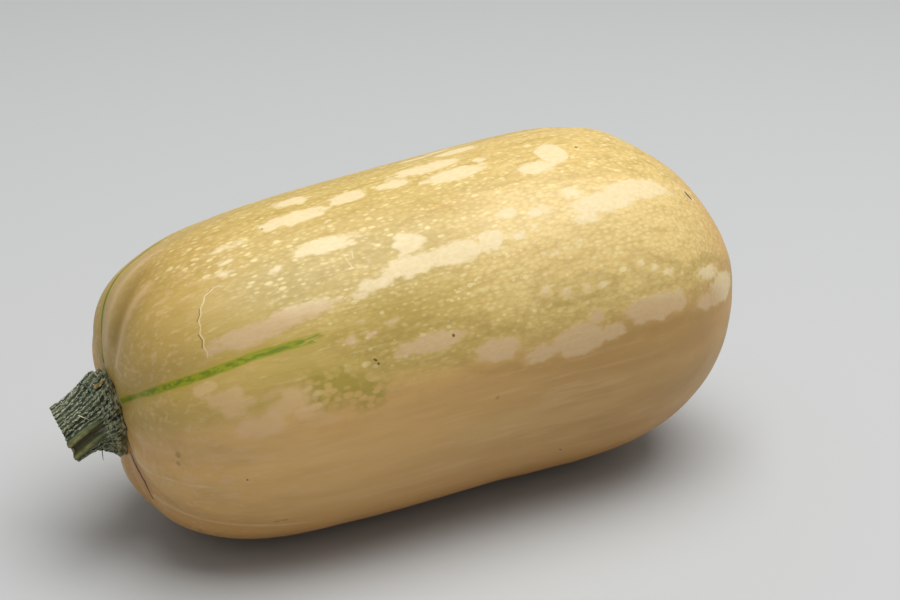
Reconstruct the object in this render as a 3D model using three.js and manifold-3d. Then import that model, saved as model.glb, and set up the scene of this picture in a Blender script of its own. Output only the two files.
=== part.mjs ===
// A whole butternut squash lying on its side: one grown fruit and the stub of its cut stem.
// Millimetres, +Z up. The stem points to -X, the blossom end to +X, and the fruit rests on z = 0.
import * as THREE from 'three';
import { mergeVertices } from 'three/addons/utils/BufferGeometryUtils.js';
import Module from 'manifold-3d';

const wasm = await Module();
wasm.setup();

// Driving dimensions of the fruit
const FRUIT_LENGTH = 233;
const FRUIT_RADIUS = 58;
const HEIGHT_OVER_WIDTH = 1.017;
const REST_TILT_DEG = 4.9;
const FLAT_SPOT_DEPTH = 0.45;

// How the profile closes at each end: a higher fullness keeps the side straight for longer,
// a higher bluntness makes the end flatter.
const STEM_END = { fullness: 2.63, bluntness: 3.5, skewUp: -0.054, skewAside: 0.016 };
const BLOSSOM_END = { fullness: 3.95, bluntness: 1.5, skewUp: -0.053, skewAside: 0.05 };
// The side swells towards the blossom end and draws in again just before it.
const SWELL = { linear: 0.08, square: 0.135, cube: -0.077 };
// The core line bows a little and winds like a flat S between the two ends.
const BOW = { aside: 1.9, up: 0.9 };
const WIND = { aside: 14.9, up: -5.8 };

// The five main veins run along the fruit at these angles round its core line:
// 0 is towards +Y, 90 is the top. A weaker vein runs half way between each two.
const MAIN_VEINS_DEG = [4, 72, 146, 220, 292];
const MAIN_FURROW = { depth: 1.5, halfWidthDeg: 8 };
const SECOND_FURROW = { depth: 1.0, halfWidthDeg: 7 };
// The lobes between the furrows stand out by this much.
const LOBE_RISE = 0.6;
const FURROW_LEFT_AT_MIDDLE = 0.12;
const FURROW_FADE_LENGTH = 45;
// Furrows and swellings begin outside this radius round the two poles.
const RELIEF_START_RADIUS = 20;

// Small forms of the two ends
const STEM_HOLLOW = { depth: 1.6, radius: 15 };
const BLOSSOM_SCAR = { radius: 6.5, depth: 1.6, rimHeight: 0.6, rimWidth: 2.5 };

// Low swellings of the skin: place along the fruit from the stem end, angle, radius, height
const SWELLINGS = [
  { along: 0, angleDeg: 286, radius: 9.5, height: 1.1 },
  { along: 18, angleDeg: 252, radius: 14, height: -0.6 },
  { along: 20, angleDeg: 60, radius: 8.5, height: -0.4 },
  { along: 106, angleDeg: 118, radius: 9, height: 0.8 },
  { along: 70, angleDeg: 168, radius: 30, height: -0.7 },
  { along: 146, angleDeg: 52, radius: 30, height: -0.5 },
  { along: 190, angleDeg: 205, radius: 32, height: 0.8 },
  { along: 120, angleDeg: 330, radius: 36, height: -0.8 },
  { along: 161, angleDeg: 70, radius: 17, height: -0.5 },
  { along: 194, angleDeg: 80, radius: 8.5, height: 0.7 },
  { along: 207, angleDeg: 87, radius: 13, height: -0.45 },
  { along: 227, angleDeg: 157, radius: 13.5, height: 0.6 },
];

// Driving dimensions of the stem stub
const STEM_LENGTH = 17.4;
const STEM_CUT_RADIUS = 8.7;
const STEM_NECK_RADIUS = 8.1;
const STEM_FLARE = { extra: 2.6, reach: 4.6 };
// Its upper side runs out into a broad shoulder with one large knob, its lower side into a foot.
const STEM_SHOULDER = { angleDeg: 68, extra: 4.6, reach: 14 };
const STEM_KNOB = { angleDeg: 70, at: 5.8, fromAxis: 11, radius: 5.2, height: 3.5 };
const STEM_FOOT = { angleDeg: 252, at: 1, extra: 1.5, reach: 2.5 };
const SMALL_KNOBS = { at: 3, height: 0.6, reach: 2.6 };
const STEM_BEND = { aside: 1.0, down: 3.0 };
const STEM_CUT_LEAN = { aside: 0.07, down: -0.3 };
const STEM_PLACE = { aside: 0.2, up: -1.55 };
// Strong and weak ridges take turns, and wind back round the stem from the cut to the fruit.
const STEM_RIDGES = 10;
const FIRST_RIDGE_DEG = 64.5;
const RIDGE_WIND_DEG_PER_MM = 2.2;
const STEM_RIDGE = { main: 0.03, every: 0.055 };
const CUT_FACE_DOME = 0.4;
const STEM_SINK = 6;
const SEAT_GAP = 0.3;

// Facets
const FRUIT_SIDES = 70;
const FRUIT_RINGS = 58;
const STEM_SIDES = 60;
const STEM_RINGS = 24;

const RIGHT_ANGLE = Math.PI / 2;
const { cos, sin, exp, abs, hypot, atan2, max, min } = Math;
const radians = THREE.MathUtils.degToRad;

// A bell that is 1 at zero and fades over the given width.
function bell(distance, width) {
  return exp(-((distance / width) ** 2));
}

// The shortest way round from one angle to another.
function turnBetween(a, b) {
  return abs(atan2(sin(a - b), cos(a - b)));
}

// Radius of the plain fruit at a station from -1, the stem end, to +1, the blossom end.
function sideRadius(station) {
  const end = station < 0 ? STEM_END : BLOSSOM_END;
  const closing = max(0, 1 - abs(station) ** end.fullness) ** (1 / end.bluntness);
  const swell = 1 + SWELL.linear * station + SWELL.square * station ** 2 + SWELL.cube * station ** 3;
  return FRUIT_RADIUS * closing * swell;
}

// The way straight out of the plain side: x along the fruit, y away from its core line.
function sideNormal(station) {
  const step = 0.002;
  const low = max(-1, station - step);
  const high = min(1, station + step);
  const forward = (high - low) * FRUIT_LENGTH / 2;
  return new THREE.Vector2(sideRadius(low) - sideRadius(high), forward).normalize();
}

// Depth of the furrows over the veins, deepest on the shoulder round the stem.
function furrowDepth(fromStem, angle) {
  const fade = FURROW_LEFT_AT_MIDDLE + (1 - FURROW_LEFT_AT_MIDDLE) * bell(fromStem, FURROW_FADE_LENGTH);
  let depth = -LOBE_RISE;
  MAIN_VEINS_DEG.forEach((vein, i) => {
    const next = MAIN_VEINS_DEG[(i + 1) % MAIN_VEINS_DEG.length];
    const between = vein + ((next - vein + 360) % 360) / 2;
    const fromMain = turnBetween(angle, radians(vein));
    const fromSecond = turnBetween(angle, radians(between));
    depth += MAIN_FURROW.depth * bell(fromMain, radians(MAIN_FURROW.halfWidthDeg));
    depth += SECOND_FURROW.depth * bell(fromSecond, radians(SECOND_FURROW.halfWidthDeg));
  });
  return depth * fade;
}

// Height of the broad swellings and dents of the skin.
function swellingHeight(along, angle, radius) {
  let height = 0;
  for (const swelling of SWELLINGS) {
    const round = turnBetween(angle, radians(swelling.angleDeg)) * radius;
    height += swelling.height * bell(hypot(along - swelling.along, round), swelling.radius);
  }
  return height;
}

// Moves a point of the plain lathed fruit to its place on the grown one.
function growFruitPoint(point, outward) {
  const station = point.x / (FRUIT_LENGTH / 2);
  const angle = atan2(point.z, point.y);
  const plain = hypot(point.y, point.z);
  const fromStem = point.x + FRUIT_LENGTH / 2;
  const fromPole = min(1, plain / RELIEF_START_RADIUS) ** 2;
  const relief = outward + (swellingHeight(fromStem, angle, plain) - furrowDepth(fromStem, angle)) * fromPole;
  const normal = sideNormal(station);
  const radius = plain + (plain > 0 ? relief * normal.y : 0);
  const aside = radius * cos(angle);
  const up = radius * sin(angle) * HEIGHT_OVER_WIDTH;
  const stemShare = max(0, -station);
  const blossomShare = max(0, station);
  const free = 1 - station ** 2;
  let x = point.x + relief * normal.x;
  x += stemShare * (STEM_END.skewUp * up + STEM_END.skewAside * aside);
  x += blossomShare * (BLOSSOM_END.skewUp * up + BLOSSOM_END.skewAside * aside);
  if (station < 0) {
    x += STEM_HOLLOW.depth * bell(plain, STEM_HOLLOW.radius) * stemShare;
  } else {
    const rim = BLOSSOM_SCAR.rimHeight * bell(plain - BLOSSOM_SCAR.radius, BLOSSOM_SCAR.rimWidth);
    x += (rim - BLOSSOM_SCAR.depth * bell(plain, BLOSSOM_SCAR.radius / 2)) * blossomShare;
  }
  const shiftAside = free * (BOW.aside + WIND.aside * station);
  const shiftUp = free * (BOW.up + WIND.up * station);
  point.set(x, aside + shiftAside, up + shiftUp);
}

// A lathed body round its own Y axis, with each point moved by a rule, merged into one closed mesh.
function grownLathe(profile, sides, lay, move) {
  const geometry = new THREE.LatheGeometry(profile, sides);
  lay(geometry);
  const positions = geometry.getAttribute('position');
  const point = new THREE.Vector3();
  for (let i = 0; i < positions.count; i += 1) {
    point.fromBufferAttribute(positions, i);
    move(point);
    positions.setXYZ(i, point.x, point.y, point.z);
  }
  return geometry;
}

// The fruit, or with an outward step a slightly larger body that trims what sits on it.
function fruitBody(outward) {
  const profile = [];
  for (let i = 0; i <= FRUIT_RINGS; i += 1) {
    const station = -cos(Math.PI * i / FRUIT_RINGS);
    const radius = i === 0 || i === FRUIT_RINGS ? 0 : sideRadius(station);
    profile.push(new THREE.Vector2(radius, station * FRUIT_LENGTH / 2));
  }
  const lay = (geometry) => geometry.rotateZ(-RIGHT_ANGLE);
  return grownLathe(profile, FRUIT_SIDES, lay, (point) => growFruitPoint(point, outward));
}

// Radius of the plain stem at a height above the fruit.
function stemRadius(height) {
  const share = max(0, height) / STEM_LENGTH;
  const shaft = STEM_NECK_RADIUS + (STEM_CUT_RADIUS - STEM_NECK_RADIUS) * share;
  return shaft + STEM_FLARE.extra * bell(max(0, height), STEM_FLARE.reach);
}

// How far the forms of the stem's foot stand out: shoulder, knobs and the lower foot.
function stemFoot(height, angle, mainWave) {
  const above = max(0, height);
  const towardsShoulder = max(0, cos(angle - radians(STEM_SHOULDER.angleDeg)));
  const towardsFoot = max(0, cos(angle - radians(STEM_FOOT.angleDeg)));
  const fromKnob = turnBetween(angle, radians(STEM_KNOB.angleDeg)) * STEM_KNOB.fromAxis;
  const knobGap = hypot(height - STEM_KNOB.at, fromKnob);
  const smallKnob = max(0, mainWave) ** 2 * bell(height - SMALL_KNOBS.at, SMALL_KNOBS.reach);
  return STEM_SHOULDER.extra * towardsShoulder ** 2 * bell(above, STEM_SHOULDER.reach)
    + STEM_KNOB.height * bell(knobGap, STEM_KNOB.radius)
    + SMALL_KNOBS.height * smallKnob
    + STEM_FOOT.extra * towardsFoot ** 2 * bell(above - STEM_FOOT.at, STEM_FOOT.reach);
}

// Moves a point of the plain stem: winding ridges, its foot, the bend and the leaning cut.
function growStemPoint(point) {
  const height = -point.x - FRUIT_LENGTH / 2;
  const above = max(0, height);
  const share = above / STEM_LENGTH;
  const angle = atan2(point.z, point.y);
  const wound = radians(RIDGE_WIND_DEG_PER_MM * (STEM_LENGTH - above) - FIRST_RIDGE_DEG);
  const mainWave = cos(STEM_RIDGES / 2 * (angle + wound));
  const everyWave = cos(STEM_RIDGES * (angle + wound));
  const ridges = STEM_RIDGE.main * mainWave + STEM_RIDGE.every * everyWave;
  const plain = hypot(point.y, point.z);
  const radius = plain * (1 + ridges + stemFoot(height, angle, mainWave) / stemRadius(height));
  const aside = radius * cos(angle);
  const up = radius * sin(angle);
  const lean = share ** 2 * (STEM_CUT_LEAN.aside * aside + STEM_CUT_LEAN.down * up);
  point.x += lean;
  point.y = STEM_PLACE.aside + aside + STEM_BEND.aside * share ** 2;
  point.z = STEM_PLACE.up + up - STEM_BEND.down * share ** 2;
}

function stemBody() {
  const foot = FRUIT_LENGTH / 2 - STEM_SINK;
  const tip = FRUIT_LENGTH / 2 + STEM_LENGTH;
  const profile = [new THREE.Vector2(0, foot)];
  for (let i = 0; i <= STEM_RINGS; i += 1) {
    const height = -STEM_SINK + (STEM_SINK + STEM_LENGTH) * i / STEM_RINGS;
    profile.push(new THREE.Vector2(stemRadius(height), FRUIT_LENGTH / 2 + height));
  }
  profile.push(new THREE.Vector2(STEM_CUT_RADIUS / 2, tip + CUT_FACE_DOME));
  profile.push(new THREE.Vector2(0, tip + CUT_FACE_DOME));
  const lay = (geometry) => geometry.rotateZ(RIGHT_ANGLE);
  return grownLathe(profile, STEM_SIDES, lay, growStemPoint);
}

// A closed three.js geometry as a solid: shared corners merged, empty triangles dropped.
function toSolid(geometry) {
  geometry.deleteAttribute('normal');
  geometry.deleteAttribute('uv');
  const merged = mergeVertices(geometry);
  const corners = merged.getIndex().array;
  const kept = [];
  for (let i = 0; i < corners.length; i += 3) {
    const [a, b, c] = corners.slice(i, i + 3);
    if (a !== b && b !== c && c !== a) {
      kept.push(a, b, c);
    }
  }
  const vertProperties = new Float32Array(merged.getAttribute('position').array);
  return new wasm.Manifold(new wasm.Mesh({ numProp: 3, vertProperties, triVerts: new Uint32Array(kept) }));
}

function toGeometry(solid) {
  const mesh = solid.getMesh();
  const geometry = new THREE.BufferGeometry();
  geometry.setAttribute('position', new THREE.BufferAttribute(mesh.vertProperties, mesh.numProp));
  geometry.setIndex(new THREE.BufferAttribute(mesh.triVerts, 1));
  geometry.computeVertexNormals();
  return geometry;
}

// The fruit tips slightly as it lies, then stands on the ground with its flat spot at z = 0.
function layDown(geometries) {
  const fruit = geometries[0];
  geometries.forEach((geometry) => geometry.rotateY(-radians(REST_TILT_DEG)));
  fruit.computeBoundingBox();
  const drop = -fruit.boundingBox.min.z - FLAT_SPOT_DEPTH;
  geometries.forEach((geometry) => geometry.translate(0, 0, drop));
}

function groundBlock() {
  const size = 3 * FRUIT_LENGTH;
  return new THREE.BoxGeometry(size, size, size).translate(0, 0, -size / 2);
}

const fruitGeometry = fruitBody(0);
const seatGeometry = fruitBody(SEAT_GAP);
const stemGeometry = stemBody();
layDown([fruitGeometry, seatGeometry, stemGeometry]);

const fruitSolid = toSolid(fruitGeometry).subtract(toSolid(groundBlock()));
const stemSolid = toSolid(stemGeometry).subtract(toSolid(seatGeometry));
const grown = [toGeometry(fruitSolid), toGeometry(stemSolid)];

// The origin is under the middle of the whole squash.
const box = new THREE.Box3();
for (const geometry of grown) {
  geometry.computeBoundingBox();
  box.union(geometry.boundingBox);
}
const middle = box.getCenter(new THREE.Vector3());
grown.forEach((geometry) => geometry.translate(-middle.x, -middle.y, 0));

const skin = new THREE.MeshStandardMaterial({ color: 0xcfa65a, roughness: 0.5, metalness: 0 });
const cork = new THREE.MeshStandardMaterial({ color: 0x55593c, roughness: 0.9, metalness: 0 });

const fruit = new THREE.Mesh(grown[0], skin);
fruit.name = 'fruit';
const stem = new THREE.Mesh(grown[1], cork);
stem.name = 'stem';

const squash = new THREE.Group();
squash.add(fruit, stem);

export default squash;
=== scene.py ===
# %% [markdown]
# # A butternut squash, lesson by lesson
# The squash is one grown fruit and the stub of its stem, lying on its side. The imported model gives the
# frame: its size, its place and its weight. This file gives it its looks. Everything is in metres, in the
# same frame, with the stem towards -X, the blossom end towards +X and the ground at z = 0.

# %% Load the frame
import math

import bmesh
import bpy
import numpy as np
from mathutils import Matrix, Vector


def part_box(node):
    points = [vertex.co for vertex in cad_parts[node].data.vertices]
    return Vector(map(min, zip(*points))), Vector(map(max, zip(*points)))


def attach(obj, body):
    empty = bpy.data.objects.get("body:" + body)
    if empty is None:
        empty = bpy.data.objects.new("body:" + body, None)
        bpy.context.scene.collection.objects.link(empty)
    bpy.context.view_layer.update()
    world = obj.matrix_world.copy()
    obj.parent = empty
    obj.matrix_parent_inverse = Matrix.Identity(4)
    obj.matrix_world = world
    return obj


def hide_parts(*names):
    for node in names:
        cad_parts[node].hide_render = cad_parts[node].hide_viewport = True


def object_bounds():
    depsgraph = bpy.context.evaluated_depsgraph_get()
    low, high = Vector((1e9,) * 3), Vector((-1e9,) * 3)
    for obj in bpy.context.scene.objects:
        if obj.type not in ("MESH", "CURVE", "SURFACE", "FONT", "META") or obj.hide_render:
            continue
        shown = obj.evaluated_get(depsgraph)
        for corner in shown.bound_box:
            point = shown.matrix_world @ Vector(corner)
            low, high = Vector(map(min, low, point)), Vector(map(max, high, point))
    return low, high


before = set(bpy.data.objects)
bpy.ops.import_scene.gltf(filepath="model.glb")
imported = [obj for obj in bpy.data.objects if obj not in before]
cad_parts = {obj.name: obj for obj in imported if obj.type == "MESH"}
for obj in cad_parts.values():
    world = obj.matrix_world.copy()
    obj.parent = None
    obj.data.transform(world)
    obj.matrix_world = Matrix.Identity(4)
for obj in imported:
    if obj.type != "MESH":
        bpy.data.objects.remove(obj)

cad_low, cad_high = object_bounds()
fruit_low, fruit_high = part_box("fruit")
print("The frame holds", len(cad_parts), "nodes,", round((cad_high - cad_low).x * 1000), "mm long")

# %% [markdown]
# ## Colours and units
# A colour picked on a screen is an sRGB value, and a shader wants linear light, so one function turns a
# hex colour into linear numbers. Shapes are worked out in millimetres, as a grower would measure them,
# and scaled to metres at the very end.

# %% Units and colours
MM = 0.001
scene = bpy.context.scene


def linear(hex_colour):
    """An sRGB hex colour as linear red, green, blue and a full alpha."""
    channels = [int(hex_colour[i:i + 2], 16) / 255 for i in (1, 3, 5)]
    light = [c / 12.92 if c <= 0.04045 else ((c + 0.055) / 1.055) ** 2.4 for c in channels]
    return (*light, 1.0)


# %% [markdown]
# ## Nodes written as arithmetic
# A node tree is a drawing of a formula. Here every node of every tree is added by one function, `add`. It
# gives back a wire, and a wire knows the signs + - * / **, so that a rule can be written as the plain
# arithmetic that it is. Each sign adds one Math node through `add`.

# %% The one function that adds nodes
class Wire:
    """What comes out of one socket of a node tree."""

    def __init__(self, tree, socket):
        self.tree = tree
        self.socket = socket

    def __getitem__(self, output):
        return Wire(self.tree, self.socket.node.outputs[output])

    def __add__(self, other):
        return calculate("ADD", self, other)

    def __radd__(self, other):
        return calculate("ADD", other, self)

    def __sub__(self, other):
        return calculate("SUBTRACT", self, other)

    def __rsub__(self, other):
        return calculate("SUBTRACT", other, self)

    def __mul__(self, other):
        return calculate("MULTIPLY", self, other)

    def __rmul__(self, other):
        return calculate("MULTIPLY", other, self)

    def __truediv__(self, other):
        return calculate("DIVIDE", self, other)

    def __pow__(self, other):
        return calculate("POWER", self, other)


def add(tree, kind, inputs=(), output=0, **settings):
    """Adds one node: its settings, then what its sockets are wired to or hold."""
    node = tree.nodes.new(kind)
    for name, value in settings.items():
        setattr(node, name, value)
    for socket, value in dict(inputs).items():
        if isinstance(value, Wire):
            tree.links.new(value.socket, node.inputs[socket])
        else:
            node.inputs[socket].default_value = value
    return Wire(tree, node.outputs[output]) if len(node.outputs) else node


def calculate(operation, *values):
    """One step of arithmetic on wires and numbers."""
    tree = next(value.tree for value in values if isinstance(value, Wire))
    return add(tree, "ShaderNodeMath", enumerate(values), operation=operation)


def bell(distance, width):
    """1 where the distance is zero, fading over the width."""
    share = distance / width
    return calculate("EXPONENT", share * share * -1.0)


def ramp(value, low, high):
    """0 below low, 1 above high, and a smooth S between. With low above high it falls."""
    settings = {"Value": value, "From Min": low, "From Max": high, "To Min": 0.0, "To Max": 1.0}
    return add(value.tree, "ShaderNodeMapRange", settings, interpolation_type="SMOOTHSTEP")


# %% [markdown]
# ## The camera
# The photo was taken from a little over half a metre away, looking down on the squash past its stem, with
# a short telephoto lens. The lens and the tilt were worked out from the straight edges of the table, and
# the place from the outline of the fruit. There is no depth of field.

# %% Camera
CAMERA_PLACE = Vector((-0.2667, -0.5840, 0.3384))
CAMERA_YAW = math.radians(25.97)
CAMERA_PITCH = math.radians(22.73)
CAMERA_ROLL = math.radians(1.03)
LENS = 80.08
SENSOR_WIDTH = 36.0


def make_camera():
    """A camera that looks along +Y, turned towards +X, tipped down and rolled."""
    forward = Vector((math.sin(CAMERA_YAW) * math.cos(CAMERA_PITCH),
                      math.cos(CAMERA_YAW) * math.cos(CAMERA_PITCH),
                      -math.sin(CAMERA_PITCH)))
    level = Vector((math.cos(CAMERA_YAW), -math.sin(CAMERA_YAW), 0.0))
    above = level.cross(forward)
    right = level * math.cos(CAMERA_ROLL) + above * math.sin(CAMERA_ROLL)
    up = above * math.cos(CAMERA_ROLL) - level * math.sin(CAMERA_ROLL)
    data = bpy.data.cameras.new("Camera")
    data.lens = LENS
    data.sensor_width = SENSOR_WIDTH
    camera = bpy.data.objects.new("Camera", data)
    turn = Matrix((right, up, -forward)).transposed()
    camera.matrix_world = Matrix.Translation(CAMERA_PLACE) @ turn.to_4x4()
    scene.collection.objects.link(camera)
    scene.camera = camera
    return camera


camera = make_camera()
print("Camera", round(CAMERA_PLACE.length, 3), "m from the origin, lens", LENS, "mm")

# %% [markdown]
# ## Floor and light
# The stage is a plain pale floor under a soft overcast sky: one very large, high light a little behind
# the squash, and an even pale world that fills the shadows. The top of the fruit then shines softly, and
# its lower half is lit by the floor alone.

# %% Floor and light
FLOOR_SIZE = 8.0
SKY_LIGHT = {"place": (0.22, -0.15, 1.6), "size": 1.5, "watts": 34.0, "colour": "#FFFFFF"}
WORLD_LIGHT = {"colour": "#F0F2F5", "strength": 0.42}


def make_floor():
    """A matt pale floor."""
    half = FLOOR_SIZE / 2
    mesh = bpy.data.meshes.new("Floor")
    corners = [(-half, -half, 0), (half, -half, 0), (half, half, 0), (-half, half, 0)]
    mesh.from_pydata(corners, [], [(0, 1, 2, 3)])
    material = bpy.data.materials.new("Pale matt paint")
    material.use_nodes = True
    shader = material.node_tree.nodes["Principled BSDF"]
    shader.inputs["Base Color"].default_value = linear("#B4B5B4")
    shader.inputs["Roughness"].default_value = 0.9
    mesh.materials.append(material)
    floor = bpy.data.objects.new("Floor", mesh)
    scene.collection.objects.link(floor)


def make_sky():
    """The large soft light and the even world."""
    data = bpy.data.lights.new("Sky", "AREA")
    data.shape = "SQUARE"
    data.size = SKY_LIGHT["size"]
    data.energy = SKY_LIGHT["watts"]
    data.color = linear(SKY_LIGHT["colour"])[:3]
    light = bpy.data.objects.new("Sky", data)
    light.location = SKY_LIGHT["place"]
    light.rotation_euler = Vector(SKY_LIGHT["place"]).to_track_quat("Z", "Y").to_euler()
    scene.collection.objects.link(light)
    world = bpy.data.worlds.new("Pale world")
    world.use_nodes = True
    background = world.node_tree.nodes["Background"]
    background.inputs["Color"].default_value = linear(WORLD_LIGHT["colour"])
    background.inputs["Strength"].default_value = WORLD_LIGHT["strength"]
    scene.world = world


make_floor()
make_sky()
scene.view_settings.view_transform = "Standard"
print("Floor and sky are in place")

# %% [markdown]
# ## Growing a shape from a rule
# A tree of Geometry Nodes turns a ball of points into a squash. Its sizes are named inputs, so the same
# tree could grow a longer or a fatter one. To run it, a modifier is put on an empty mesh and its inputs
# are set by their identifiers. The result is then kept as a plain mesh and the modifier is removed.

# %% Run a tree and keep its mesh
def new_tree(name, sizes):
    """An empty Geometry Nodes tree with named inputs, and the wires that come from them."""
    tree = bpy.data.node_groups.new(name, "GeometryNodeTree")
    tree.interface.new_socket("Geometry", in_out="OUTPUT", socket_type="NodeSocketGeometry")
    for label, kind in sizes.items():
        tree.interface.new_socket(label, in_out="INPUT", socket_type=kind)
    group = tree.nodes.new("NodeGroupInput")
    wires = {label: Wire(tree, group.outputs[label]) for label in sizes}
    return tree, wires


def grow(name, tree, values):
    """Runs the tree with these values on an empty mesh and gives back a plain object."""
    holder = bpy.data.objects.new(name, bpy.data.meshes.new(name + "_seed"))
    scene.collection.objects.link(holder)
    modifier = holder.modifiers.new("Growth", "NODES")
    modifier.node_group = tree
    for item in tree.interface.items_tree:
        if item.in_out == "INPUT":
            modifier[item.identifier] = values[item.name]
    depsgraph = bpy.context.evaluated_depsgraph_get()
    grown = holder.evaluated_get(depsgraph)
    mesh = bpy.data.meshes.new_from_object(grown, preserve_all_data_layers=True, depsgraph=depsgraph)
    mesh.name = name
    holder.modifiers.remove(modifier)
    holder.data = mesh
    return holder


# %% [markdown]
# ## The rule of the fruit
# Seen from its core line, a butternut is a round body whose two ends close like a superellipse: the stem
# end is blunt, the blossom end is rounder. It swells a little towards the blossom end, its core line
# winds like a flat S, and each end is slightly skewed. Ten furrows run over its veins, five strong and
# five weak, deepest on the shoulder round the stem. Modelling this by hand would take hours and never be
# even, so the rule is written down instead.

# %% Sizes of the fruit, in millimetres and degrees
FRUIT = {"Length": 233.0, "Radius": 58.0, "Height over width": 1.017}
STEM_END = {"fullness": 2.63, "bluntness": 3.5, "skew up": -0.054, "skew aside": 0.016}
BLOSSOM_END = {"fullness": 3.95, "bluntness": 1.5, "skew up": -0.053, "skew aside": 0.05}
SWELL = {"linear": 0.08, "square": 0.135, "cube": -0.077}
BOW = {"aside": 1.9, "up": 0.9}
WIND = {"aside": 14.9, "up": -5.8}
REST_TILT = math.radians(4.9)
FLAT_SPOT_DEPTH = 0.45

MAIN_VEINS = [4, 72, 146, 220, 292]
SECOND_VEINS = [38, 109, 183, 256, 328]
MAIN_FURROW = {"depth": 1.5, "half width": math.radians(8)}
SECOND_FURROW = {"depth": 1.0, "half width": math.radians(7)}
LOBE_RISE = 0.6
FURROW_LEFT_AT_MIDDLE = 0.12
FURROW_FADE_LENGTH = 45.0
RELIEF_START_RADIUS = 20.0
STEM_HOLLOW = {"depth": 1.6, "radius": 15.0}
BLOSSOM_SCAR = {"radius": 6.5, "depth": 1.6, "rim height": 0.6, "rim width": 2.5}

# Broad swellings and dents: along the fruit from the stem end, angle, radius, height
SWELLINGS = [(0, 286, 9.5, 1.1), (18, 252, 14, -0.6), (20, 60, 8.5, -0.4), (106, 118, 9, 0.8),
             (70, 168, 30, -0.7), (146, 52, 30, -0.5), (190, 205, 32, 0.8), (120, 330, 36, -0.8),
             (161, 70, 17, -0.5), (194, 80, 8.5, 0.7), (207, 87, 13, -0.45), (227, 157, 13.5, 0.6)]


def side_radius(station):
    """Radius of the plain fruit at a station from -1, the stem end, to +1, the blossom end."""
    distance = calculate("ABSOLUTE", station)
    stem_side = calculate("LESS_THAN", station, 0.0)
    closing = 0.0
    for end, share in ((STEM_END, stem_side), (BLOSSOM_END, 1.0 - stem_side)):
        open_part = calculate("MAXIMUM", 1.0 - distance ** end["fullness"], 0.0)
        closing = closing + open_part ** (1 / end["bluntness"]) * share
    square = station * station
    swell = station * SWELL["linear"] + square * SWELL["square"] + square * station * SWELL["cube"]
    return closing * (swell + 1.0)


# %% [markdown]
# The relief is added along the surface's own normals, after the plain body is in shape. Besides the
# furrows and swellings it has a faint unevenness, because no grown skin is perfectly smooth.

# %% Relief of the skin
UNEVENNESS = [(34.0, 0.45), (11.0, 0.13)]
UNEVENNESS_SINK = 0.12


def furrows(angle, from_stem):
    """Depth of the ten furrows, fading away from the stem."""
    fade = bell(from_stem, FURROW_FADE_LENGTH) * (1 - FURROW_LEFT_AT_MIDDLE) + FURROW_LEFT_AT_MIDDLE
    depth = -LOBE_RISE
    for veins, furrow in ((MAIN_VEINS, MAIN_FURROW), (SECOND_VEINS, SECOND_FURROW)):
        for vein in veins:
            apart = 2.0 - calculate("COSINE", angle - math.radians(vein)) * 2.0
            width_squared = furrow["half width"] ** 2
            depth = depth + calculate("EXPONENT", apart / -width_squared) * furrow["depth"]
    return depth * fade


def swellings(angle, from_stem, radius):
    """Height of the broad swellings and dents."""
    height = 0.0
    for along, degrees, reach, rise in SWELLINGS:
        apart = 2.0 - calculate("COSINE", angle - math.radians(degrees)) * 2.0
        forward = from_stem - along
        distance_squared = forward * forward + apart * radius * radius
        height = height + calculate("EXPONENT", distance_squared / -(reach ** 2)) * rise
    return height


def unevenness(tree, place):
    """A soft random waviness, in millimetres, a little more inward than outward."""
    height = -UNEVENNESS_SINK
    for wave_length, rise in UNEVENNESS:
        inputs = {"Vector": place, "Scale": 1 / wave_length, "Detail": 1.0}
        noise = add(tree, "ShaderNodeTexNoise", inputs, noise_dimensions="3D")
        height = height + (noise - 0.5) * 2 * rise
    return height


# %% [markdown]
# The tree itself: a ball of points, pulled into the plain fruit, displaced by the relief, tipped as it
# lies, moved to its place and pressed flat where it touches the ground. It also writes down where each
# point lay on the plain fruit, as the attribute `lay`, so that veins and freckles can follow the skin
# later.

# %% The tree that grows the fruit
FRUIT_INPUTS = {"Length": "NodeSocketFloat", "Radius": "NodeSocketFloat",
                "Height over width": "NodeSocketFloat", "Sides": "NodeSocketInt",
                "Rings": "NodeSocketInt", "Place": "NodeSocketVector", "Skin": "NodeSocketMaterial"}


def plain_fruit(tree, size, station, angle):
    """Where a point of the ball lies on the plain fruit, before and after the core line is bent."""
    radius = side_radius(station) * size["Radius"]
    half = size["Length"] / 2
    aside = calculate("COSINE", angle) * radius
    plain_up = calculate("SINE", angle) * radius
    up = plain_up * size["Height over width"]
    stem_share = calculate("MAXIMUM", 0.0 - station, 0.0)
    blossom_share = calculate("MAXIMUM", station, 0.0)
    x = station * half
    x = x + stem_share * (up * STEM_END["skew up"] + aside * STEM_END["skew aside"])
    x = x + blossom_share * (up * BLOSSOM_END["skew up"] + aside * BLOSSOM_END["skew aside"])
    x = x + bell(radius, STEM_HOLLOW["radius"]) * stem_share * STEM_HOLLOW["depth"]
    rim = bell(radius - BLOSSOM_SCAR["radius"], BLOSSOM_SCAR["rim width"]) * BLOSSOM_SCAR["rim height"]
    cup = bell(radius, BLOSSOM_SCAR["radius"] / 2) * BLOSSOM_SCAR["depth"]
    x = x + (rim - cup) * blossom_share
    free = 1.0 - station * station
    y = aside + free * (station * WIND["aside"] + BOW["aside"])
    z = up + free * (station * WIND["up"] + BOW["up"])
    from_stem = (station + 1.0) * half
    lay = add(tree, "ShaderNodeCombineXYZ", {"X": from_stem, "Y": aside, "Z": plain_up})
    return lay, add(tree, "ShaderNodeCombineXYZ", {"X": x, "Y": y, "Z": z})


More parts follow.
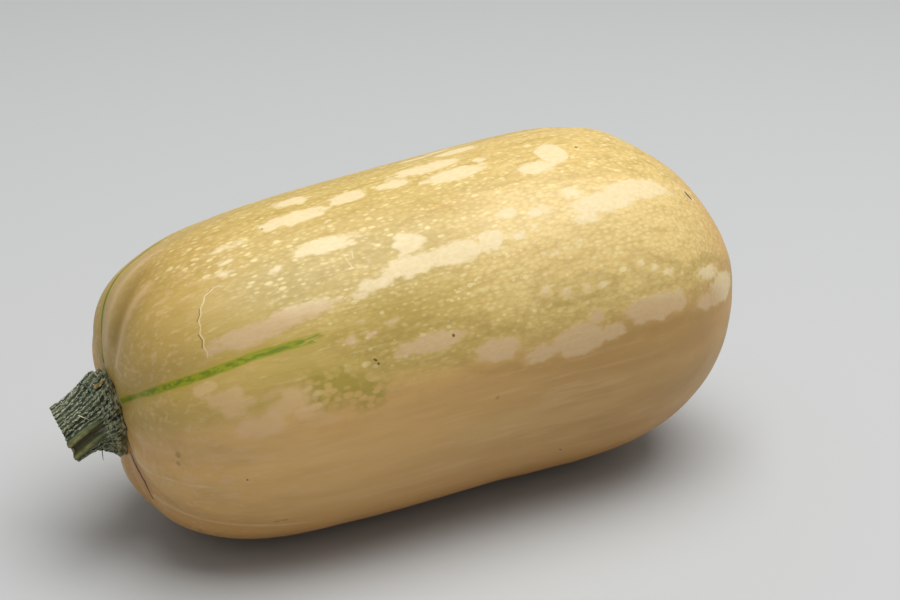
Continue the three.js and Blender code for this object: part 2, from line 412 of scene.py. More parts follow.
def fruit_relief(tree, lay):
    """The relief as an offset along each point's normal."""
    spot = add(tree, "ShaderNodeSeparateXYZ", {0: lay})
    radius = calculate("SQRT", spot["Y"] * spot["Y"] + spot["Z"] * spot["Z"])
    angle = calculate("ARCTAN2", spot["Z"], spot["Y"])
    from_pole = calculate("MINIMUM", radius / RELIEF_START_RADIUS, 1.0)
    relief = swellings(angle, spot["X"], radius) - furrows(angle, spot["X"])
    relief = relief * from_pole * from_pole + unevenness(tree, lay)
    normal = add(tree, "GeometryNodeInputNormal")
    return add(tree, "ShaderNodeVectorMath", {0: normal, "Scale": relief}, operation="SCALE")


def settle(tree, geometry, place):
    """Tips the grown body as it lies and moves it from millimetres to its place in metres."""
    turn = {"Geometry": geometry, "Rotation": (0.0, -REST_TILT, 0.0), "Scale": (MM, MM, MM)}
    tipped = add(tree, "GeometryNodeTransform", turn)
    return add(tree, "GeometryNodeTransform", {"Geometry": tipped, "Translation": place})


def press_flat(tree, geometry):
    """Lets nothing reach below the ground, with a soft edge round the flat spot."""
    spot = add(tree, "ShaderNodeSeparateXYZ", {0: add(tree, "GeometryNodeInputPosition")})
    above = calculate("SMOOTH_MAX", spot["Z"], 0.0, 0.2 * MM)
    pressed = add(tree, "ShaderNodeCombineXYZ", {"X": spot["X"], "Y": spot["Y"], "Z": above})
    return add(tree, "GeometryNodeSetPosition", {"Geometry": geometry, "Position": pressed})


def finish_tree(tree, geometry, material):
    """The end of every tree: smooth shading, real geometry and a material."""
    smooth = add(tree, "GeometryNodeSetShadeSmooth", {"Geometry": geometry})
    real = add(tree, "GeometryNodeRealizeInstances", {"Geometry": smooth})
    clad = add(tree, "GeometryNodeSetMaterial", {"Geometry": real, "Material": material})
    add(tree, "NodeGroupOutput", {"Geometry": clad})
    return tree


def fruit_tree():
    tree, size = new_tree("Grown fruit", FRUIT_INPUTS)
    ball = add(tree, "GeometryNodeMeshUVSphere", {"Segments": size["Sides"], "Rings": size["Rings"]})
    spot = add(tree, "ShaderNodeSeparateXYZ", {0: add(tree, "GeometryNodeInputPosition")})
    station = calculate("MAXIMUM", calculate("MINIMUM", spot["Z"], 1.0), -1.0)
    angle = calculate("ARCTAN2", spot["Y"], spot["X"])
    lay, plain = plain_fruit(tree, size, station, angle)
    store = {"Geometry": ball, "Name": "lay", "Value": lay}
    marked = add(tree, "GeometryNodeStoreNamedAttribute", store, data_type="FLOAT_VECTOR")
    shaped = add(tree, "GeometryNodeSetPosition", {"Geometry": marked, "Position": plain})
    lay = add(tree, "GeometryNodeInputNamedAttribute", {"Name": "lay"}, data_type="FLOAT_VECTOR")
    carved = add(tree, "GeometryNodeSetPosition", {"Geometry": shaped, "Offset": fruit_relief(tree, lay)})
    pressed = press_flat(tree, settle(tree, carved, size["Place"]))
    return finish_tree(tree, pressed, size["Skin"])


print("The fruit's tree has", len(FRUIT_INPUTS), "named inputs")


# %% [markdown]
# The tree runs twice with the sizes of this fruit: first high above the ground, to be measured, and then
# where the frame has the fruit.

# %% Grow the fruit and lay it in its place
fruit_sizes = dict(FRUIT)
fruit_sizes.update({"Sides": 360, "Rings": 268})
rind = bpy.data.materials.new("Butternut rind, waxy and ripe")
rind.use_nodes = True
fruit_sizes["Skin"] = rind


def coordinates(piece):
    """The vertices of a piece as rows of x, y, z in metres."""
    flat = np.empty(len(piece.data.vertices) * 3)
    piece.data.vertices.foreach_get("co", flat)
    return flat.reshape(-1, 3)


def values_of(piece, name, width):
    """An attribute of the vertices as rows of numbers."""
    layer = piece.data.attributes[name]
    flat = np.empty(len(layer.data) * width)
    layer.data.foreach_get("vector" if width == 3 else "value", flat)
    return flat.reshape(-1, width)


def plant_fruit():
    """Grows it once high above the ground to measure it, and again where the frame has it."""
    tree = fruit_tree()
    trial = grow("trial", tree, {**fruit_sizes, "Place": (0.0, 0.0, 1.0)})
    low = coordinates(trial).min(axis=0)
    high = coordinates(trial).max(axis=0)
    bpy.data.objects.remove(trial)
    middle = (fruit_low + fruit_high) / 2
    place = (middle.x - (low[0] + high[0]) / 2,
             middle.y - (low[1] + high[1]) / 2,
             1.0 - low[2] - FLAT_SPOT_DEPTH * MM)
    return grow("rind", tree, {**fruit_sizes, "Place": place}), place


fruit, fruit_place = plant_fruit()
fruit_lay = values_of(fruit, "lay", 3)
print("The fruit has", len(fruit.data.polygons), "faces, and its core starts at",
      [round(v * 1000, 1) for v in fruit_place])

# %% [markdown]
# ## Pale patches
# Where the young fruit rubbed on leaves and soil, its skin healed into smooth pale patches. They run with
# the veins. Each is an ellipse on the skin, given by its place along the fruit and round it, and its half
# sizes along and across. The mesh keeps how deep each point lies inside the nearest patch, in
# millimetres, and the material later breaks that edge up with fine noise.

# %% The pale patches
# Along the fruit in mm, angle in degrees, half length and half width in mm
PATCHES = [
    (36, 139.3, 13, 2.9), (54, 136.8, 11.5, 3.1), (74, 137, 3.9, 1.0), (80, 148, 2.4, 0.8),
    (67, 150, 2.2, 1.2), (73, 150, 1.9, 1.0), (92, 158, 12.0, 3.0), (115, 166, 8.0, 3.9),
    (131, 171, 6.2, 3.1),
    (147, 170, 10.6, 5.3), (155, 164, 2.8, 2.2), (160, 170, 5.2, 2.9), (180, 166, 14.6, 4.6),
    (203, 171, 5.6, 2.5), (207, 160, 6.3, 2.3), (214, 170, 12.0, 5.0), (164, 102, 5.9, 6.5),
    (155, 108, 7.5, 3.3), (172, 128, 14.3, 3.9), (188, 124, 15.5, 4.2), (161, 122, 3.8, 2.0),
    (163, 132, 5.6, 2.2), (145, 126, 4.8, 2.0), (134, 124, 2.7, 1.9), (135, 132, 2.6, 1.6),
    (146, 141, 4.5, 0.8), (156, 139, 1.1, 0.8), (96, 124, 5.3, 3.8), (124, 131, 4.8, 3.7),
    (110, 132, 9.7, 3.9), (94, 132, 9.6, 3.8), (80, 135, 6.3, 2.3), (69, 116, 11.9, 3.3),
    (66, 99, 11.7, 3.6), (70, 87, 6.4, 3.4), (86, 96, 6.8, 3.3), (103, 96, 5.9, 2.3),
    (118, 91, 14.0, 3.5), (138, 96, 3.7, 1.4), (125, 100, 13.0, 3.5), (42, 102, 5.0, 1.2),
    (52, 120, 1.5, 1.0), (37, 114, 2.3, 1.2), (138, 151.5, 1.6, 1.2), (145.3, 154, 1.6, 1.2),
    (153.3, 154, 1.9, 1.4), (159.6, 154.5, 1.3, 0.9), (134.3, 132, 2.2, 1.0), (133.6, 123, 3.1, 1.7),
    (141.6, 131, 1.0, 0.9), (155.9, 139, 1.2, 0.8), (177, 150.5, 1.3, 0.9), (182, 153.5, 1.5, 1.1),
    (187.5, 155.5, 1.6, 1.2), (202.5, 159, 1.9, 1.4), (66.8, 150.5, 2.2, 1.3), (71.4, 145.5, 1.6, 0.9),
    (80.7, 148, 2.8, 0.8), (39, 109, 2.8, 0.8), (31.8, 112, 1.5, 1.1), (52, 119, 1.5, 1.0)]
FAR_PATCHES = {"seed": 7, "count": 26, "degrees": (10, 84), "along": (30, 205),
               "half length": (2, 12), "half width": (1.0, 3.6)}
# Half of those in the freckled zone move down by 30 degrees
FRECKLED_ZONE = {"middle": 70, "half width": 14, "share moved": 0.5, "moved by": 30}
PATCH_REACH = 5.0


def plain_radius(along):
    """Radius of the plain fruit, in mm, at a distance from the stem end."""
    station = np.clip(2 * np.asarray(along, float) / FRUIT["Length"] - 1, -1, 1)
    distance = np.abs(station)
    swell = 1 + SWELL["linear"] * station + SWELL["square"] * station ** 2 + SWELL["cube"] * station ** 3
    stem_side = np.maximum(1 - distance ** STEM_END["fullness"], 0) ** (1 / STEM_END["bluntness"])
    blossom_side = np.maximum(1 - distance ** BLOSSOM_END["fullness"], 0) ** (1 / BLOSSOM_END["bluntness"])
    return FRUIT["Radius"] * np.where(station < 0, stem_side, blossom_side) * swell


def skin_spot(along, degrees):
    """Where a place on the skin lies on the plain fruit, and the directions along and across there."""
    turn = math.radians(degrees)
    outward = np.array([0.0, math.cos(turn), math.sin(turn)])
    spot = np.array([along, 0, 0]) + outward * plain_radius(along)
    slope = (plain_radius(along + 0.5) - plain_radius(along - 0.5))
    forward = np.array([1.0, 0, 0]) + outward * slope
    across = np.array([0.0, -math.sin(turn), math.cos(turn)])
    return spot, forward / np.linalg.norm(forward), across


def far_patches():
    """More of the same on the side that faces away, scattered at random."""
    rng = np.random.default_rng(FAR_PATCHES["seed"])
    rows = []
    for _ in range(FAR_PATCHES["count"]):
        degrees = rng.uniform(*FAR_PATCHES["degrees"])
        in_zone = abs(degrees - FRECKLED_ZONE["middle"]) < FRECKLED_ZONE["half width"]
        if in_zone and rng.random() < FRECKLED_ZONE["share moved"]:
            degrees -= FRECKLED_ZONE["moved by"]
        along = rng.uniform(*FAR_PATCHES["along"])
        half_length = rng.uniform(*FAR_PATCHES["half length"])
        half_width = rng.uniform(*FAR_PATCHES["half width"])
        rows.append((along, degrees, half_length, half_width))
    return rows


def depth_in_patches(lay, patches):
    """For each point, how many mm it lies inside the nearest patch, negative outside."""
    depth = np.full(len(lay), -PATCH_REACH)
    for along, degrees, half_length, half_width in patches:
        spot, forward, across = skin_spot(along, degrees)
        away = lay - spot
        ring = np.sqrt((away @ forward / half_length) ** 2 + (away @ across / half_width) ** 2)
        near = np.abs(away).max(axis=1) < half_length + 2 * PATCH_REACH
        inside = np.where(near, (1 - ring) * half_width, -PATCH_REACH)
        depth = np.maximum(depth, inside)
    return depth


def paint(piece, name, values):
    """Keeps one number for each vertex under a name that a material can read."""
    layer = piece.data.attributes.new(name, "FLOAT", "POINT")
    layer.data.foreach_set("value", np.asarray(values, dtype=np.float32))


patch_depth = depth_in_patches(fruit_lay, PATCHES + far_patches())
paint(fruit, "patch", patch_depth)
print("Pale patches cover", round(float((patch_depth > 0).mean()) * 100), "% of the vertices")

# %% [markdown]
# ## The rind
# A ripe butternut's rind is a hard, waxy skin with a satin sheen. It is tan where it lay in the shade,
# and ochre, freckled and veined with olive where it faced the sun. Its colour is mixed here layer by
# layer, from the ground colour to the smallest speck, on the coordinates of the plain fruit, so that
# every vein runs from the stem to the blossom end. All sizes are real millimetres.

# %% Colours of the rind, and tools to mix them
RIND_COLOURS = {
    "shade near": "#D3A762", "shade far": "#B0894D", "shade cloud": "#CFAA6E", "shade brown": "#A87D42",
    # The underside colour is painted shade: darker and more orange towards the bottom
    "underside": "#BE8A4C", "sun ochre": "#C3A75C", "sun light": "#D7B871", "sun gold": "#A98B3C",
    "orange": "#B8803C", "olive": "#AE9548", "net": "#8F7431", "stem end": "#B6954C",
    # The lobe edge colour is painted highlight on the lobe ridges, the valley colour painted shade in the
    # furrow
    "lobe edge highlight": "#D6B581", "valley shade": "#93732C", "freckle": "#E2D096", "patch": "#D6C092",
    "patch light": "#E5D2A4", "shade patch": "#C4A578", "shade patch light": "#CFB184",
    "halo": "#AC9438", "green": "#8E9004", "dark green": "#5E6C02", "blossom end": "#CFA058",
    # Brown is also the painted shadow along one side of the scratch
    "pale line": "#D8BC8A", "brown": "#5E4020", "cork": "#DCC596", "stain": "#96703C",
    "rust": "#8A5526", "blush": "#D6B284", "mottle": "#968628", "late": "#E2C684",
    # The crack colour is painted shade in the crease at the stem's foot
    "crease shade": "#3B2B18"}
SKIN_ROUGHNESS = 0.47


def colour_of(name):
    """A wire as it is, or one of the named colours as linear light."""
    return name if isinstance(name, Wire) else linear(RIND_COLOURS[name])


def mix(share, under, over):
    """Lays one colour over another, as far as the share says."""
    inputs = {0: share, 6: colour_of(under), 7: colour_of(over)}
    return add(share.tree, "ShaderNodeMix", inputs, output=2, data_type="RGBA")


def noise(tree, place, wave_length, detail=2.0):
    """Soft random values from 0 to 1 that change over a wave length in millimetres."""
    inputs = {"Vector": place, "Scale": 1 / wave_length, "Detail": detail}
    return add(tree, "ShaderNodeTexNoise", inputs)


def read(tree, name, output="Fac"):
    """An attribute of the mesh."""
    return add(tree, "ShaderNodeAttribute", output=output, attribute_name=name)


def stretched(tree, place, share):
    """The same place with its length along the fruit shortened, so that patterns on it grow long."""
    return add(tree, "ShaderNodeVectorMath", {0: place, 1: (share, 1.0, 1.0)}, operation="MULTIPLY")


class Skin:
    """Where a point lies on the plain fruit: along it, round it, and how far from its core."""

    def __init__(self, tree):
        self.tree = tree
        self.place = read(tree, "lay", "Vector")
        spot = add(tree, "ShaderNodeSeparateXYZ", {0: self.place})
        self.along = spot["X"]
        self.radius = calculate("SQRT", spot["Y"] * spot["Y"] + spot["Z"] * spot["Z"])
        turn = calculate("ARCTAN2", spot["Y"] * -1.0, spot["Z"])
        self.degrees = turn * math.degrees(1) + 90.0
        self.long = stretched(tree, self.place, 0.3)
        self.fibre = noise(tree, stretched(tree, self.place, 0.04), 1.4, 3.0)
        self.wander = (noise(tree, self.long, 24.0) - 0.5) * 30.0
        self.ragged = noise(tree, stretched(tree, self.place, 0.55), 2.4, 5.0) - 0.5

    def band(self, low, high, soft):
        """1 between two angles in degrees, with wandering edges."""
        degrees = self.degrees + self.wander
        return ramp(degrees, low - soft, low + soft) * ramp(degrees, high + soft, high - soft)


print("The rind is mixed from", len(RIND_COLOURS), "colours")

# %% [markdown]
# The ground is tan with faint clouds drawn out along the fruit. Over it lies the sunny side: ochre with
# thin golden and pale fibres. A broad olive band follows the strongest vein.

# %% Ground colour
SUNNY_BAND = (44.0, 168.0, 8.0)
OLIVE_BAND = (117.0, 163.0, 8.0)
LATE_BAND = (114.0, 158.0, 9.0)
STEM_END_LENGTH = 62.0


def lay_shade(skin, streak):
    """The shaded side: light tan near the stem, browner far from it, and darker and more orange towards the
    bottom, which is painted shade.
    """
    cloud = ramp(noise(skin.tree, skin.long, 13.0, 3.0), 0.36, 0.66)
    shade = mix(ramp(skin.along, 20.0, 185.0), "shade near", "shade far")
    shade = mix(cloud * 0.35, shade, "shade cloud")
    shade = mix(streak * 0.22, shade, "shade brown")
    fibre = noise(skin.tree, stretched(skin.tree, skin.place, 0.07), 2.4, 3.0)
    shade = mix(ramp(fibre, 0.52, 0.70) * ramp(skin.along, 215.0, 120.0) * 0.28, shade, "blush")
    # Painted shade: darker and more orange towards the bottom
    return mix(ramp(skin.degrees, 196.0, 232.0) * 0.6, shade, "underside")


def lay_ground(skin):
    """Tan, ochre and olive. Gives the colour and how sunny each place is."""
    tree = skin.tree
    sunny = skin.band(*SUNNY_BAND)
    streak = ramp(noise(tree, stretched(tree, skin.place, 0.1), 6.0, 3.0), 0.40, 0.66)
    sun = mix(ramp(skin.along + skin.wander, 90.0, 185.0) * 0.8, "sun ochre", "sun light")
    sun = mix(streak * 0.22, sun, "sun gold")
    sun = mix(ramp(noise(tree, skin.long, 9.0, 3.0), 0.58, 0.74) * 0.3, sun, "orange")
    line = noise(tree, stretched(tree, skin.place, 0.06), 3.0, 3.0)
    sun = mix(ramp(line, 0.50, 0.66) * 0.38, sun, "sun gold")
    colour = mix(sunny, lay_shade(skin, streak), sun)
    near = ramp(skin.along + skin.wander * 0.8, STEM_END_LENGTH, 8.0)
    colour = mix(near * sunny * 0.75, colour, "stem end")
    thread = noise(tree, stretched(tree, skin.place, 0.14), 1.8, 4.0)
    colour = mix(ramp(thread, 0.52, 0.66) * near * 0.4, colour, "blush")
    colour = mix(ramp(noise(tree, skin.long, 5.0, 3.0), 0.56, 0.70) * near * sunny * 0.3, colour, "halo")
    colour = mix(ramp(skin.along + skin.wander * 0.3, 200.0, 230.0) * 0.8, colour, "blossom end")
    late = skin.band(*LATE_BAND) * ramp(skin.along, 92.0, 135.0)
    colour = mix(late * ramp(skin.along, 226.0, 202.0) * 0.45, colour, "late")
    olive = skin.band(*OLIVE_BAND) * ramp(skin.along, 10.0, 44.0) * ramp(skin.along, 124.0, 72.0)
    olive = olive * ramp(noise(tree, skin.long, 8.0), 0.22, 0.60)
    colour = mix(olive * 0.8, colour, "olive")
    return mix(ramp(skin.fibre, 0.56, 0.76) * sunny * 0.3, colour, "freckle"), sunny


# %% [markdown]
# The sunny side is a fine mosaic. Each cell of the skin is pale in its middle and darker at its border,
# about a millimetre across and drawn out along the fruit. Over it lie brighter freckles, rounder and
# larger towards the shade, and a few flecks. A cell pattern gives all of them: it knows how far each
# point is from the middle of its cell and gives every cell a random number for its size and brightness.

# %% Mosaic, freckles and flecks
MOSAIC_SPACING = 1.25
FRECKLE_SPACING = 1.8
ROUND_SPACING = 2.6
FLECK_SPACING = 6.0


def cells(skin, spacing, lengthening):
    """A net of cells drawn out along the fruit: distance from the middle, and two random numbers."""
    place = stretched(skin.tree, skin.place, lengthening)
    net = add(skin.tree, "ShaderNodeTexVoronoi", {"Vector": place, "Scale": 1 / spacing})
    random = add(skin.tree, "ShaderNodeSeparateColor", {0: net["Color"]})
    return net["Distance"], random["Red"], random["Green"]


def spots(skin, spacing, smallest, largest, keep, lengthening, soft=0.08):
    """One spot of random size in some of the cells."""
    distance, size, chance = cells(skin, spacing, lengthening)
    edge = distance - (size * (largest - smallest) + smallest) + skin.ragged * 0.3
    return ramp(edge, soft, -soft) * calculate("LESS_THAN", chance, keep)


def lay_freckles(skin, colour, sunny):
    """The mosaic and the freckles on it. Gives the colour and the mask of all spots."""
    later = calculate("MAXIMUM", skin.degrees - 100.0, 0.0) * 0.9
    started = ramp(skin.along + skin.wander * 0.6 - later, 2.0, 28.0) * sunny
    crowd = ramp(noise(skin.tree, skin.long, 16.0), 0.26, 0.58) * 0.5 + 0.5
    low = skin.band(132.0, 172.0, 6.0) * ramp(skin.along, 20.0, 50.0)
    distance, pale, dark = cells(skin, MOSAIC_SPACING, 0.5)
    distance = distance + skin.ragged * 0.4
    colour = mix(ramp(distance, 0.34, 0.72) * (dark * 0.24 + 0.06) * started, colour, "net")
    colour = mix(ramp(distance, 0.50, 0.06) * (pale * 0.5 + 0.04) * crowd * started, colour, "freckle")
    fine = spots(skin, FRECKLE_SPACING, 0.10, 0.36, 0.60, 0.45, 0.10) * crowd * (1.0 - low * 0.5)
    rounded = spots(skin, ROUND_SPACING, 0.06, 0.30, 0.55, 0.75, 0.08) * low
    flecks = spots(skin, FLECK_SPACING, 0.0, 0.20, 0.30, 0.60, 0.05)
    all_spots = calculate("MAXIMUM", fine * 0.8, calculate("MAXIMUM", rounded * 0.7, flecks * 0.9))
    all_spots = all_spots * started
    return mix(all_spots * 0.85, colour, "freckle"), all_spots


# %% [markdown]
# The pale patches have ragged edges and a faint texture of their own, with lighter fibres in them.

# %% Patches
def lay_patches(skin, colour):
    """The healed patches over the ground. Gives the colour and their mask."""
    depth = read(skin.tree, "patch") + skin.ragged * 4.6
    mask = ramp(depth, -0.7, 0.8)
    speckle = noise(skin.tree, stretched(skin.tree, skin.place, 0.7), 1.3, 3.0)
    light = ramp(speckle, 0.38, 0.62)
    shaded = ramp(skin.degrees - (skin.along - 100.0) * 0.2, 139.0, 149.0) * ramp(skin.along, 218.0, 206.0)
    shaded = calculate("MAXIMUM", shaded, ramp(skin.degrees, 56.0, 40.0))
    rim = bell(depth + 2.4, 1.8) * ramp(skin.degrees, 140.0, 152.0) * ramp(skin.degrees, 182.0, 172.0)
    colour = mix(rim * 0.3, colour, "net")
    upper = mix(light * 0.4 + 0.3, "patch", "patch light")
    lower = mix(light * 0.3 + 0.1, "shade patch", "shade patch light")
    return mix(mask * 0.88, colour, mix(shaded, upper, lower)), mask


# %% [markdown]
# A few veins keep the green of the unripe fruit. The strongest starts at the stem as a dark line with an
# olive halo, breaks up and fades before the middle.

# %% Green veins, ridges and mottling
# Chains of (along in mm, angle in degrees)
MAIN_VEIN = [(0.2, 140), (1.2, 144.7), (6.2, 147.3), (14.2, 147.7), (22.8, 147.5), (28.8, 147), (35, 146.4),
             (61, 146.4), (110, 145)]
SECOND_VEIN = [(0.4, 67), (1.5, 70.5), (3, 69.5), (6, 68), (10, 66.5), (15.5, 65.2), (25, 65.5), (60, 68)]
# A crease below the stem's foot; the dark line laid on it among the marks is painted shade
LOWER_CREASE = [(0.2, 229), (0.5, 228), (0.9, 227), (1.5, 227), (2.2, 229), (3.1, 232)]
DOUBLE_RIDGE = [(3.2, 227.5), (6.5, 223), (13.2, 220), (26, 219.7), (50, 222)]
PALE_RIDGE = [(0.8, 204), (1.9, 201), (6.2, 194.5), (13.5, 193.7), (27, 194)]
# Painted highlights along the two lobe ridges at the stem end, and painted shade along the furrow beside
# them
LOBE_EDGE_HIGHLIGHT = [(1.5, 118), (2.2, 115), (4.5, 109), (8.2, 105), (11.8, 102.5), (17, 101)]
FIRST_LOBE_HIGHLIGHT = [(1.9, 94), (4.9, 90.5), (8.5, 87), (13.5, 84), (26, 82)]
VALLEY_SHADE = [(3.5, 105), (5.5, 103.5), (7.5, 102), (10.5, 98.5), (13, 95.5), (18, 92.5)]
OLIVE_STREAK = [(31, 163.5), (35.8, 163), (40, 161.5)]
MOTTLE = [(54, 162.5), (62, 164), (69, 168)]
BLUSHES = [(24.8, 157.5, 4.5), (43.5, 163.5, 7), (28, 162, 4.5), (20, 152.5, 3),
           (48.5, 169, 4), (33, 170, 6)]


def lay_line(skin, colour, name, gap, half_width, strength, start_fade, end_fade):
    """A soft line of one colour, from the distance to a chain of places."""
    mask = bell(gap, half_width) * ramp(skin.along, end_fade, start_fade)
    return mix(mask * strength, colour, name)


def lay_green(skin, colour, chain, width, start_fade, end_fade):
    """A green vein: an olive halo, a green line with torn edges and darker flakes in it."""
    torn = noise(skin.tree, stretched(skin.tree, skin.place, 0.22), 1.2, 3.0)
    fade = ramp(skin.along, end_fade, start_fade)
    gap = calculate_gap(skin, chain)
    share = (gap + skin.ragged * 0.5) / ((ramp(skin.along, 0.0, 8.0) * 0.3 + 0.7) * width)
    whole = ramp(fade + (torn - 0.5) * 1.2, 0.15, 0.6)
    halo = bell(gap + skin.ragged, width * 2.2) * ramp(skin.along, end_fade + 45, start_fade)
    colour = mix(halo * 0.5, colour, "halo")
    colour = mix(ramp(share, 1.3, 0.75) * whole, colour, "green")
    return mix(ramp(share, 1.0, 0.4) * whole * ramp(torn, 0.40, 0.54) * 0.7, colour, "dark green")


def lay_mottle(skin, colour):
    """Green threads between pale spots, where the sunny side ends."""
    distance, pale, _ = cells(skin, 2.3, 0.75)
    away = calculate_gap(skin, MOTTLE) + (noise(skin.tree, skin.place, 7.0) - 0.5) * 12
    mask = ramp(away, 9.5, 1.5)
    colour = mix(mask * 0.12, colour, "halo")
    colour = mix(mask * ramp(distance + skin.ragged * 1.2, 0.30, 0.66) * 0.7, colour, "mottle")
    return mix(mask * ramp(distance + skin.ragged * 1.2, 0.34, 0.06) * pale * 0.22, colour, "patch")


def lay_veins(skin, colour):
    """The veins and ridges near the stem, painted shade in a furrow and painted highlights on the lobe
    ridges, soft pinkish clouds and the green mottling.
    """
    for along, degrees, radius in BLUSHES:
        gap = calculate_gap(skin, [(along - radius * 0.7, degrees), (along + radius * 0.7, degrees)])
        colour = mix(ramp(gap + skin.ragged * 3, radius * 0.75, radius * 0.3) * 0.5, colour, "blush")
    colour = lay_line(skin, colour, "halo", calculate_gap(skin, OLIVE_STREAK), 1.3, 0.6, 40.0, 48.0)
    # Painted shade in the furrow and painted highlights on the lobe ridges near the stem
    colour = lay_line(skin, colour, "valley shade", calculate_gap(skin, VALLEY_SHADE), 9.0, 0.35, 14.0, 40.0)
    colour = lay_line(skin, colour, "lobe edge highlight", calculate_gap(skin, FIRST_LOBE_HIGHLIGHT), 2.6, 0.55, 14.0, 34.0)
    colour = lay_line(skin, colour, "valley shade", calculate_gap(skin, VALLEY_SHADE), 3.2, 0.55, 12.0, 26.0)
    colour = lay_line(skin, colour, "lobe edge highlight", calculate_gap(skin, LOBE_EDGE_HIGHLIGHT), 1.5, 0.6, 12.0, 24.0)
    colour = lay_green(skin, lay_mottle(skin, colour), MAIN_VEIN, 1.35, 38.0, 66.0)
    colour = lay_green(skin, colour, SECOND_VEIN, 0.7, 36.0, 60.0)
    colour = lay_line(skin, colour, "dark green", calculate_gap(skin, SECOND_VEIN), 0.4, 0.9, 30.0, 60.0)
    colour = lay_line(skin, colour, "orange", calculate_gap(skin, LOWER_CREASE), 2.2, 0.6, 1.5, 4.0)
    double = calculate_gap(skin, DOUBLE_RIDGE)
    colour = lay_line(skin, colour, "orange", double, 1.7, 0.45, 10.0, 50.0)
    colour = lay_line(skin, colour, "pale line", double, 0.9, 0.9, 30.0, 60.0)
    colour = lay_line(skin, colour, "shade brown", double, 0.26, 0.75, 26.0, 60.0)
    return lay_line(skin, colour, "pale line", calculate_gap(skin, PALE_RIDGE), 0.5, 0.8, 16.0, 27.0)


# %% [markdown]
# Last come the small marks: specks, an old scratch with its corky healed line and a painted shadow along its
# side towards the stem, painted shade in the crease at the stem's foot, a nick by the blossom end and a few
# stains. Each is a short chain of places on the skin, and the material measures the distance to the chain,
# so that its edge stays sharp.

# %% Specks, scratches and stains
# Chains of (along in mm, angle in degrees), with the half width of the mark in mm, its colour and strength
SCRATCH = [(34.1, 118), (32.2, 117.9), (30.8, 118.9), (29.0, 119.6), (27.9, 122), (26.5, 123.8),
           (25.9, 126.2), (24.6, 128.2), (24.5, 130.6), (23.6, 133), (24.0, 135.6), (23.3, 138),
           (23.7, 140.2), (23.3, 142)]
MARKS = [
    # Painted shadow: brown pieces 0.45 mm towards the stem along one side of the scratch
    ("brown", 0.24, 0.5, [[(along - 0.45, degrees) for along, degrees in part]
                          for part in (SCRATCH[:3], SCRATCH[5:8], SCRATCH[9:12])]),
    ("cork", 0.21, 0.75, [SCRATCH]),
    ("cork", 0.25, 0.50, [[(74, 123), (75, 127.5)], [(77, 121.5), (76.4, 124)]]),
    ("stain", 0.8, 0.50, [[(8.9, 178.5), (8.7, 179.5)], [(8.5, 184)], [(113, 182)],
                          [(130, 330)], [(60, 12)]]),
    ("rust", 0.42, 0.85, [[(35.4, 217.2), (36.4, 217)], [(37.4, 216.4), (39, 216.6)]]),
    ("brown", 0.55, 0.90, [[(72.4, 158.2), (72.9, 158.6)], [(73.3, 159.8)], [(100.4, 157.5)], [(14.2, 233)],
                           [(175, 101)], [(60, 64)], [(150, 20)], [(188, 246)]]),
    ("brown", 0.35, 0.80, [[(54.8, 99.5)], [(26.5, 190.5)], [(141, 214), (142, 215)], [(96, 342)]]),
    # Painted shade: a dark line in the crease below the stem's foot
    ("crease shade", 0.42, 0.95, [LOWER_CREASE]),
    ("cork", 1.7, 0.60, [[(211.4, 121.4), (212.6, 123.6)]]),
    ("brown", 0.9, 0.95, [[(211.4, 121.4), (212.6, 123.6)]])]


def calculate_gap(skin, chain):
    """Distance in mm from each point to a chain of places on the skin."""
    tree = skin.tree
    places = [Vector(skin_spot(along, degrees)[0]) for along, degrees in chain]
    nearest = None
    for start, end in zip(places, places[1:] or places):
        line = end - start
        away = add(tree, "ShaderNodeVectorMath", {0: skin.place, 1: start}, operation="SUBTRACT")
        if line.length > 0:
            reach = {0: away, 1: line / line.length_squared}
            share = add(tree, "ShaderNodeVectorMath", reach, output="Value", operation="DOT_PRODUCT")
            share = add(tree, "ShaderNodeClamp", {0: share})
            step = add(tree, "ShaderNodeVectorMath", {0: line, "Scale": share}, operation="SCALE")
            away = add(tree, "ShaderNodeVectorMath", {0: away, 1: step}, operation="SUBTRACT")
        gap = add(tree, "ShaderNodeVectorMath", {0: away}, output="Value", operation="LENGTH")
        nearest = gap if nearest is None else calculate("MINIMUM", nearest, gap)
    return nearest


def lay_marks(skin, colour):
    for name, half_width, strength, chains in MARKS:
        for chain in chains:
            gap = calculate_gap(skin, chain) + skin.ragged * half_width * 2.0
            colour = mix(ramp(gap, half_width * 1.25, half_width * 0.6) * strength, colour, name)
    return colour


print("Marked", sum(len(mark[3]) for mark in MARKS), "small marks")

# %% [markdown]
# The wax gives a satin gloss, duller on the patches. A fine bump follows the fibres and the freckles.

# %% Put the rind together
def build_rind(tree):
    shader = tree.nodes["Principled BSDF"]
    skin = Skin(tree)
    colour, sunny = lay_ground(skin)
    colour, freckled = lay_freckles(skin, colour, sunny)
    colour, patched = lay_patches(skin, colour)
    colour = lay_marks(skin, lay_veins(skin, colour))
    tree.links.new(colour.socket, shader.inputs["Base Color"])
    gloss = ramp(noise(tree, skin.place, 6.0), 0.2, 0.8) * 0.08 + patched * 0.06 + (SKIN_ROUGHNESS - 0.04)
    tree.links.new(gloss.socket, shader.inputs["Roughness"])
    grain = noise(tree, skin.place, 0.9, 2.0)
    height = skin.fibre * 0.12 + grain * 0.05 + freckled * 0.05
    bump = add(tree, "ShaderNodeBump", {"Height": height, "Distance": 1.0 * MM, "Strength": 0.6})
    tree.links.new(bump.socket, shader.inputs["Normal"])


build_rind(rind.node_tree)
print("The rind has", len(rind.node_tree.nodes), "nodes")

# %% [markdown]
# ## The stem
# A butternut hangs from a woody stem with five strong and five weak ridges. Here only a stub is left, cut
# off slanting. It is grown like the fruit: the same kind of ball of points is pulled into a ridged peg
# that flares into the fruit, with lumpy knobs round its foot and one round knob on top. The ball's first
# rings make the cut face and its last rings the hidden underside.

